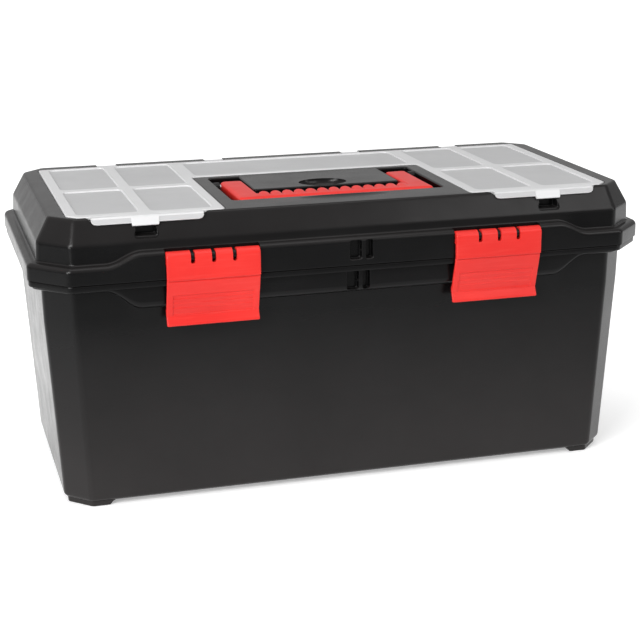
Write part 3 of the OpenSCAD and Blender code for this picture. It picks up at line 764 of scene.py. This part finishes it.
def build_lid():
    lid = lid_shell()
    cut(lid, taken_back(lid_hollow()))
    rebate = levels(REBATE, TOP + 0.02, 0, -0.7) + [(TOP + 3, -0.7)]
    cut(lid, extrude(cover_outline(0.5, 1.3), rebate))
    cut(lid, taken_back(recess_cutter()))
    for side in SIDES:
        for a, b in ((BIN_X[0], BIN_X[1]), (BIN_X[2], BIN_X[3])):
            for y0, y1 in ((BIN_Y[0], BIN_Y[1]), (BIN_Y[2], BIN_Y[3])):
                x0, x1 = sorted((side * a, side * b))
                cut(lid, pocket(x0, y0, x1, y1, BIN_FLOOR, REBATE, corner=5, foot=5, flare=0.9))
    cut(lid, pocket(*REAR_BIN, BIN_FLOOR, REBATE, corner=5, foot=5, flare=0.9))
    cut(lid, dish(0, SCOOP_Y, TOP - 0.06, 22, 15.9, 10.5))
    cut(lid, dish(0, RECESS[1] - 11, TOP + 0.3, 46, 10, 1.8, shallow=True))
    for side in SIDES:
        cut(lid, latch_notch(side * latch_axis.x))
        x = side * CLIP_X
        cut(lid, pocket(x - NOTCH_HALF, TOP - 16, x + NOTCH_HALF, TOP - 6, 116.5, 126, corner=1.2,
                        foot=0.6, flare=1.6, above=20, turn=TO_FRONT))
    for x in TAB_X:
        cut(lid, pocket(x - 9.5, 104, x + 9.5, 140, cover_axis.z - 4, TOP, corner=1, foot=0.6,
                        flare=0.5))
        cut(lid, rod(x - 12, x + 12, cover_axis.y, cover_axis.z, 1.4))
    cut(lid, *lock_cutters(-SKIRT[1], PARTING + 5.8, FLANGE_HIGH - 2.5))
    for side in SIDES:
        for x0, x1 in LID_KNUCKLES:
            x = side * HINGE_X
            add(lid, knuckle(x + x0, x + x1, 135.0, PARTING + 11))
        for x0, x1 in TUB_KNUCKLES:
            x = side * HINGE_X
            cut(lid, rod(x + x0 - 0.5, x + x1 + 0.5, hinge.y, hinge.z, KNUCKLE_R + 0.6))
        bore = (side * HINGE_X - HINGE_HALF, side * HINGE_X + HINGE_HALF)
        cut(lid, rod(*bore, hinge.y, hinge.z, PIN_R + 0.07))
        for i in (-1, 0, 1):
            add(lid, latch_rib(side * latch_axis.x + i * SLOT_PITCH))
        x0, x1 = sorted((side * (handle_high.x + 1.2), side * (RECESS[2] + 1)))
        add(lid, rod(x0, x1, handle_axis.y, handle_axis.z, 4.4, 0.5))
        x0, x1 = sorted((side * (handle_high.x + 1), side * 99))
        cut(lid, rod(x0, x1, handle_axis.y, handle_axis.z, 2.5))
    return finish_piece(lid, black, "lid", "black_plastic", "lid")


# ------------------------------------------------------------------------------ latches

def latch_loop(sunk):
    """Side view of a latch, anticlockwise in (y, z); sunk moves the flap panel inwards."""
    y, z, face = latch_axis.y, latch_axis.z, latch_low.y
    crease = PARTING
    lip_y, flap_y, low = -136.4, -133.4, latch_low.z
    run = (flap_y - face - 1.4) / (crease - 0.8 - low - 8.0)

    def flap(height, depth=0.0):
        return Vector((face + 1.4 + run * (crease - 0.8 - height) + depth, height))

    outside = [Vector((face, crease + 0.7)), Vector((face + 0.4, crease + 0.1)),
               Vector((face + 2.0, crease - 0.2)), Vector((face + 2.1, crease - 0.8)),
               flap(crease - 1.8)]
    panel = [flap(crease - 13.5), flap(crease - 14.1, sunk)]
    for middle in GRIP_LINES:
        bead = sunk - (0.4 if sunk else 0)
        panel += [flap(middle + 0.9, sunk), flap(middle + 0.4, bead), flap(middle - 0.4, bead),
                  flap(middle - 0.9, sunk)]
    panel += [flap(low + 9.6, sunk), flap(low + 9.0), flap(low + 8.2)]
    lip = [Vector((flap_y - 0.5, low + 7.0)), Vector((lip_y + 0.1, low + 2.2)),
           Vector((lip_y - 0.05, low + 1.0)), Vector((lip_y + 0.25, low + 0.3)),
           Vector((lip_y + 0.9, low)), Vector((lip_y + 2.4, low)), Vector((lip_y + 3.1, low + 0.8)),
           Vector((flap_y + 1.9, low + 7.6)), Vector((flap_y + 3.0, low + 9.0))]
    catch = [Vector((-126.9, low + 9.5)), Vector((-126.2, low + 10.2)), Vector((-126.2, 175.8)),
             Vector((-126.8, 176.4)), Vector((-130.6, 176.4)), Vector((-131.6, 177.2)),
             Vector((-137.9, 198.0)), Vector((-139.4, PARTING + 1))]
    hinge_end = [Vector((y + 5.6 * math.cos(a), z + 5.6 * math.sin(a)))
                 for a in [math.radians(d) for d in range(-110, 181, 15)]]
    return outside + panel + lip + catch + [Vector((-139.4, z - 5.3))] + hinge_end


def build_latch(side, name):
    """Latch: loft along its width, with a shallow panel on the flap and rounded ends."""
    x = side * latch_axis.x
    plain, sunk = latch_loop(0.0), latch_loop(0.7)
    margin = 5.0
    stations = [(w, shrink(plain, d)) for w, d in levels(-LATCH_HALF, LATCH_HALF, 1.0, 1.0, 3)]
    panel = [(-LATCH_HALF + margin, plain), (-LATCH_HALF + margin + 0.6, sunk),
             (LATCH_HALF - margin - 0.6, sunk), (LATCH_HALF - margin, plain)]
    stations = stations[:4] + panel + stations[4:]
    latch = solid(name, skin([[(p.x, p.y, w) for p in loop] for w, loop in stations], ALONG_X))
    latch.data.transform(Matrix.Translation((x * MM, 0, 0)))
    for i in (-1, 0, 1):
        middle = x + i * SLOT_PITCH
        slot = rectangle(middle - SLOT_HALF, latch_axis.z - 4.6, middle + SLOT_HALF, TOP, 1.4)
        cut(latch, extrude(slot, levels(125, 150, 0, 0), TO_FRONT))
    cut(latch, rod(x - 45, x + 45, latch_axis.y, latch_axis.z, 1.57))
    for end in SIDES:
        x0, x1 = sorted((x + end * (LATCH_HALF - 6), x + end * (LATCH_HALF + 3)))
        cut(latch, extrude(rectangle(x0, -131.0, x1, -120.0, 1.5), levels(168, 180, 0, 0)))
    return finish_piece(latch, red, name, "red_plastic", name)


# ------------------------------------------------------------------------------- handle

def build_handle():
    """U handle swept through pairs of points on its outer and inner edges."""
    half, bar_w = handle_high.x, 20.0
    front = handle_low.y
    inner_x = half - bar_w
    grip_back = front + bar_w
    ribs = 13
    pitch = 2 * inner_x / ribs
    ro, ri = 4.0, 2.0

    def scallop(x):
        share = ((x + inner_x) / pitch) % 1.0
        return math.sqrt(max(0.0, 1 - (2 * share - 1) ** 2))

    arm = [((-half, y), (-inner_x, y)) for y in (handle_axis.y, -20, -36, -50)]
    turn = []
    steps = 6
    for k in range(steps + 1):
        a = math.pi + math.pi / 2 * k / steps
        outer = (-half + ro + ro * math.cos(a), front + ro + ro * math.sin(a))
        inside = (-inner_x - ri * (1 - math.sin(math.pi / 2 * k / steps)) + ri,
                  grip_back - 3 + ri * (1 - math.sin(math.pi / 2 * k / steps)))
        turn.append((outer, inside))
    arm = [(a, b, 0.6) for a, b in arm]
    turn = [(a, b, 0.6) for a, b in turn]
    samples = 8
    grip = []
    for i in range(1, ribs * samples):
        x = -inner_x + pitch * i / samples
        lobe = scallop(x)
        grip.append(((x, front), (x, grip_back - 3 + 3.4 * lobe), 0.1 + 0.9 * lobe))
    left = arm + turn
    right = [((-a[0], a[1]), (-b[0], b[1]), lobe) for a, b, lobe in reversed(left)]
    stations = left + grip + right

    def section(station, height=5.0, mid=handle_axis.z):
        """Cross-section; its upper inner edge rises with the lobe of a finger ridge."""
        outer, inner, lobe = Vector(station[0]), Vector(station[1]), station[2]
        across = outer - inner
        width = across.length
        across.normalize()
        loop = []
        rise = min(1.0, height / 5.0)
        ridge = (3.4 * lobe - 2.2) * rise
        for (s0, dz, r_s, r_z, start) in ((0, -1, 1.8, 1.8, 180), (width, -1, 3.4, 3.4, 270),
                                          (width, 1, 4.2, 3.2, 0), (0, 1, 2.6, 2.0, 90)):
            r_z = min(r_z, height * 0.9)
            lift = ridge if (s0, dz) == (0, 1) else 0.0
            cs = s0 + (r_s if s0 == 0 else -r_s)
            cz = dz * (height - r_z) + lift
            if (s0, dz) == (0, 1):
                for share, part in ((0.62, 0.12), (0.42, 0.6)):
                    p = inner + across * width * share
                    loop.append((p.x, p.y, mid + height + lift * part))
            for k in range(5):
                a = math.radians(start + 90 * k / 4)
                p = inner + across * (cs + r_s * math.cos(a))
                loop.append((p.x, p.y, mid + cz + r_z * math.sin(a)))
        return loop

    rings = [section(pair) for pair in stations]
    ends = [(5.0 * math.sin(math.radians(a)), 5.0 * math.cos(math.radians(a)))
            for a in (20, 40, 58, 72, 82)]
    y, plain = handle_axis.y, 0.6
    first = [section(((-half, y + r), (-inner_x, y + r), plain), h) for r, h in reversed(ends)]
    last = [section(((half, y + r), (inner_x, y + r), plain), h) for r, h in ends]
    handle = solid("carry_handle", skin(first + rings + last))
    for side in SIDES:
        x0, x1 = sorted((side * 70, side * 95))
        cut(handle, rod(x0, x1, handle_axis.y, handle_axis.z, 2.57))
    return finish_piece(handle, red, "handle", "red_plastic", "handle", sharp=40)


# -------------------------------------------------------------------------------- cover

def build_cover():
    """One-piece cover: plate with sunk panels, folded lips, clips and hinge tabs."""
    bottom, top = REBATE + 0.3, cover_high.z
    x, front, back, rib_y, rib_x = cover_high.x, COVER_FRONT, COVER_BACK, -4.0, 175.5
    plan = [(GAP_HALF, STRIP_FRONT, 3), (GAP_HALF, front, 4), (x - WING_CUT, front, 3),
            (x, front + WING_CUT, 3), (x, back, 3)]
    plan += [(-u, v, r) for u, v, r in reversed(plan)]
    cover = solid("organiser_cover_moulding",
                  extrude(rounded(plan), levels(bottom, top, 0.3, 1.1, 4)))
    for side in SIDES:
        add(cover, cover_lip(side * LIP_X, LIP_HALF, 4.0, bottom, top - 0.3, 4.5))
        add(cover, cover_lip(side * CLIP_X, CLIP_HALF, 6.5, bottom, top - 0.05, 0.8, 0.5))
    for middle in TAB_X:
        add(cover, cover_tab(middle, bottom))
    rim, rib = 9.0, 5.0
    floor = top - 1.2
    pockets = [(rib - GAP_HALF, STRIP_FRONT + rib + 1, GAP_HALF - rib, back - rib)]
    for side in SIDES:
        for a, b in ((GAP_HALF + rim, rib_x - rib), (rib_x + rib, x - rim)):
            x0, x1 = sorted((side * a, side * b))
            pockets.append((x0, front + rim, x1, rib_y - rib))
            pockets.append((x0, rib_y + rib, x1, back - rib))
    for place in pockets:
        cut(cover, pocket(*place, floor, top, corner=5, foot=0.5, flare=0.7))
    paint(cover, frosted_rib, frosted)
    slope = Vector((0, SHOULDER_Z - TOP, SHOULDER[1] - CROWN[1])).normalized()
    for face in cover.data.polygons:
        panel = face.normal.z > 0.99 and abs(face.center.z / MM - floor) < 0.05
        off_clip = abs(abs(face.center.x / MM) - CLIP_X) > CLIP_HALF
        folded = face.normal.dot(slope) > 0.97 and face.center.y / MM < front and off_clip
        face.material_index = 1 if panel or folded else 0
    finish_piece(cover, None, "organiser_cover", "clear_plastic", "organiser_cover")
    for face in cover.data.polygons:
        if abs(face.normal.z) > 0.9999:
            face.use_smooth = False
    return cover


def cover_lip(x, half, drop, bottom, top, taper, out=0.0):
    """Lip folded over the front slope of the lid, with tapered ends."""
    slope_y, slope_z = SHOULDER[1] - CROWN[1], TOP - SHOULDER_Z
    length = math.hypot(slope_y, slope_z)
    inner = -CROWN[1] - slope_y / slope_z * (TOP - bottom) - 0.6

    def loop(reach):
        run_y, run_z = slope_y / length * reach, slope_z / length * reach
        face = inner - 1.6 - out
        corners = [(-112, bottom, 0), (inner, bottom, 0.2), (inner - run_y, bottom - run_z, 0.3),
                   (face - run_y, bottom - run_z + 0.8, 0.6), (face, top - 1.2, 0.9),
                   (inner, top, 0.7), (-112, top, 0)]
        return rounded([(u, v, r) for u, v, r in reversed(corners)], 3)

    shares = ((0.0, 0.25), (0.12, 0.55), (0.4, 0.85), (1.0, 1.0))
    stations = [(x - half + taper * at, loop(drop * share)) for at, share in shares]
    stations += [(x + half - taper * at, loop(drop * share)) for at, share in reversed(shares)]
    return skin([[(p.x, p.y, w) for p in points] for w, points in stations], ALONG_X)


def cover_tab(x, bottom):
    """Hinge tab with a rounded back and a trunnion each side."""
    y, z, r = cover_axis.y, cover_axis.z, 2.4
    arc = [Vector((y + r * math.cos(a), z + r * math.sin(a)))
           for a in [math.radians(d) for d in range(-110, 91, 20)]]
    loop = [Vector((102, bottom + 0.05))] + arc + [Vector((102, z + r))]
    tab = solid("tab", bar(loop, x - 9, x + 9, 0.4))
    add(tab, rod(x - 11.5, x + 11.5, y, z, 1.3, 0.2))
    return taken_back(tab)


# --------------------------------------------------------------------------------- tray

def build_tray():
    """Sliding tray: tapered box with rounded compartments, guide ribs, rims and a grip wall."""
    middle = (tray_low.y + tray_high.y) / 2
    bottom, top, wall = tray_low.z, 199.0, 2.0
    half_l, half_d, taper = 247.0, 75.0, 4.0

    def body(z, d):
        lean = taper * (top - z) / (top - bottom)
        return [(p.x, p.y, z) for p in
                rectangle(-half_l + lean + d, middle - half_d + lean + d,
                          half_l - lean - d, middle + half_d - lean - d, max(1.5, 8 - d), 5)]

    rows = [body(z, d) for z, d in
            ((bottom, 3), (bottom + 0.4, 1.4), (bottom + 1.4, 0.4), (bottom + 3, 0), (bottom + 30, 0),
             (top - 0.6, 0), (top - 0.15, 0.2), (top, 0.6))]
    tray = solid("sliding_tray", skin(rows))
    rim_z, rim_t, rim_half = 193.3, 2.7, half_d - 20
    rims = rectangle(-259, middle - rim_half, 259, middle + rim_half, 3)
    add(tray, extrude(rims, levels(rim_z, rim_z + rim_t, 0.5, 0.7, 2)))
    cross, edge = 62.0, 1.0
    floor = bottom + wall
    spans = ((-half_l + taper + wall, -cross - edge), (-cross + edge, cross - edge),
             (cross + edge, half_l - taper - wall))
    low_y, high_y = middle - half_d + taper + wall, middle + half_d - taper - wall
    for x0, x1 in spans:
        cut(tray, pocket(x0, low_y, x1, high_y, floor, top, corner=5, foot=3, flare=0.6))
    grip = rectangle(-cross - 0.5, bottom + 1, cross + 0.5, 214, 3)
    turn = Matrix.Translation((0, middle, 0)) @ TO_FRONT
    add(tray, extrude(grip, levels(-2, 2, 0.8, 0.8, 3), turn))
    slot = rectangle(-43, 186, 43, 208, 10.9, 8)
    cut(tray, extrude(slot, [(-6, -1.6)] + [(w, d) for w, d in
                      ((-2.02, -0.9), (-1.6, -0.3), (-1.0, 0), (1.0, 0), (1.6, -0.3), (2.02, -0.9))]
                      + [(6, -1.6)], turn))
    for x in (-155, 118, 182):
        for s in SIDES:
            for end in SIDES:
                u = x + s * 2.2
                v = middle + end * (half_d - 6)
                add(tray, extrude(rectangle(u - 1, v - 4, u + 1, v + 4, 0.5, 2),
                                  levels(bottom + 1, top - 6, 0, 0.5, 2)))
    return finish_piece(tray, tray_grey, "tray", "grey_plastic", "tray")


def dress_cad_nodes():
    """Pins and dividers keep their CAD solids, with softened edges and detailed materials."""
    looks = {"pin": (steel, 0.25), "divider": (red, 0.35)}
    for name, node in frame["nodes"].items():
        for word, (material, edge) in looks.items():
            if word not in name:
                continue
            for slot in node.material_slots:
                slot.material = material
            node.data.shade_smooth()
            soften = node.modifiers.new("soften", "BEVEL")
            soften.width, soften.segments = edge * MM, 3
            soften.limit_method, soften.angle_limit = "ANGLE", math.radians(40)
            soften.harden_normals = True
            weighted = node.modifiers.new("normals", "WEIGHTED_NORMAL")
            weighted.keep_sharp = True


# ------------------------------------------------------------------- camera, light, floor

def make_camera():
    eye = Vector((-0.37510, -1.32205, 0.51828))
    heading, tilt, roll = math.radians(16.04), math.radians(-16.30), math.radians(-0.34)
    forward = Vector((math.cos(tilt) * math.sin(heading), math.cos(tilt) * math.cos(heading),
                      math.sin(tilt)))
    right = forward.cross(Vector((0, 0, 1))).normalized()
    up = right.cross(forward)
    rolled_right = math.cos(roll) * right + math.sin(roll) * up
    rolled_up = -math.sin(roll) * right + math.cos(roll) * up
    data = bpy.data.cameras.new("camera")
    data.sensor_width, data.lens = 36, 84.88
    camera = bpy.data.objects.new("camera", data)
    camera.matrix_world = Matrix.Translation(eye) @ Matrix(
        (rolled_right, rolled_up, -forward)).transposed().to_4x4()
    scene.collection.objects.link(camera)
    scene.camera = camera


def area_light(name, place, aim, size, energy):
    data = bpy.data.lights.new(name, "AREA")
    data.shape, data.size, data.size_y = "RECTANGLE", *size
    data.energy = energy
    light = bpy.data.objects.new(name, data)
    light.location = place
    light.rotation_euler = (Vector(aim) - Vector(place)).to_track_quat("-Z", "Y").to_euler()
    scene.collection.objects.link(light)


def front_to_back(nodes, links, coordinate, near, far, low, high):
    """Grey that eases from low at Y = near to high at Y = far."""
    split = nodes.new("ShaderNodeSeparateXYZ")
    links.new(coordinate, split.inputs["Vector"])
    depth = spread(nodes, links, split.outputs["Y"], near, far, 0, 1)
    tone = two_tone(nodes, links, depth, [low] * 3, [high] * 3)
    tone.color_ramp.interpolation = "EASE"
    return tone.outputs["Color"]


def make_studio():
    scene.view_settings.view_transform = "Standard"
    scene.view_settings.look = "None"
    world = bpy.data.worlds.new("studio")
    scene.world = world
    world.use_nodes = True
    nodes, links = world.node_tree.nodes, world.node_tree.links
    place = nodes.new("ShaderNodeTexCoord")
    tilt = nodes.new("ShaderNodeVectorRotate")
    tilt.rotation_type = "X_AXIS"
    tilt.inputs["Angle"].default_value = math.radians(-60)
    links.new(place.outputs["Generated"], tilt.inputs["Vector"])
    sky = front_to_back(nodes, links, tilt.outputs["Vector"], 0.30, 0.80, 0.42, 0.60)
    links.new(sky, nodes["Background"].inputs["Color"])

    mesh = bmesh.new()
    bmesh.ops.create_grid(mesh, x_segments=8, y_segments=8, size=14000)
    floor = solid("studio_floor", mesh)
    material, nodes, links = node_tree("pale_floor")
    shader = nodes["Principled BSDF"]
    shader.inputs["Roughness"].default_value = 0.8
    shader.inputs["Specular IOR Level"].default_value = 0.1
    place = nodes.new("ShaderNodeTexCoord").outputs["Object"]
    turned = nodes.new("ShaderNodeVectorRotate")
    turned.rotation_type = "Z_AXIS"
    turned.inputs["Angle"].default_value = math.radians(14)
    links.new(place, turned.inputs["Vector"])
    # painted shade: in front of the box, mostly out of view, the floor is darker, so the front of the
    # box reflects dark
    pale = front_to_back(nodes, links, turned.outputs["Vector"], -0.76, -0.44, 0.36, 0.86)
    links.new(pale, shader.inputs["Base Color"])
    # painted light: the floor glows, weak in front and far to the left, stronger towards the back, so
    # it reads white and the shadow of the box on it is lightened
    painted_floor_glow = front_to_back(nodes, links, place, -0.60, 0.50, 0.12, 0.66)
    links.new(painted_floor_glow, shader.inputs["Emission Color"])
    across = nodes.new("ShaderNodeSeparateXYZ")
    links.new(place, across.inputs["Vector"])
    strength = spread(nodes, links, across.outputs["X"], -0.95, -0.22, 0.22, 1)
    links.new(strength, shader.inputs["Emission Strength"])
    floor.data.materials.append(material)

    area_light("overhead", (-0.1, -0.40, 1.7), (0, 0, 0.1), (1.4, 0.8), 6)
    area_light("key", (-1.25, -1.35, 1.15), (0, 0, 0.15), (0.7, 0.7), 20)
    area_light("left_strip", (-1.5, -1.0, 0.55), (0, 0, 0.18), (0.6, 0.9), 15)
    area_light("right_strip", (1.7, -0.9, 0.6), (0, 0, 0.18), (0.25, 0.9), 3)
    area_light("right_front", (1.15, -1.35, 1.3), (0.1, 0, 0.2), (1.0, 0.7), 7)


make_camera()
make_studio()
build_tub()
build_lid()
build_latch(-1, "latch_left")
build_latch(1, "latch_right")
build_handle()
build_cover()
build_tray()
dress_cad_nodes()
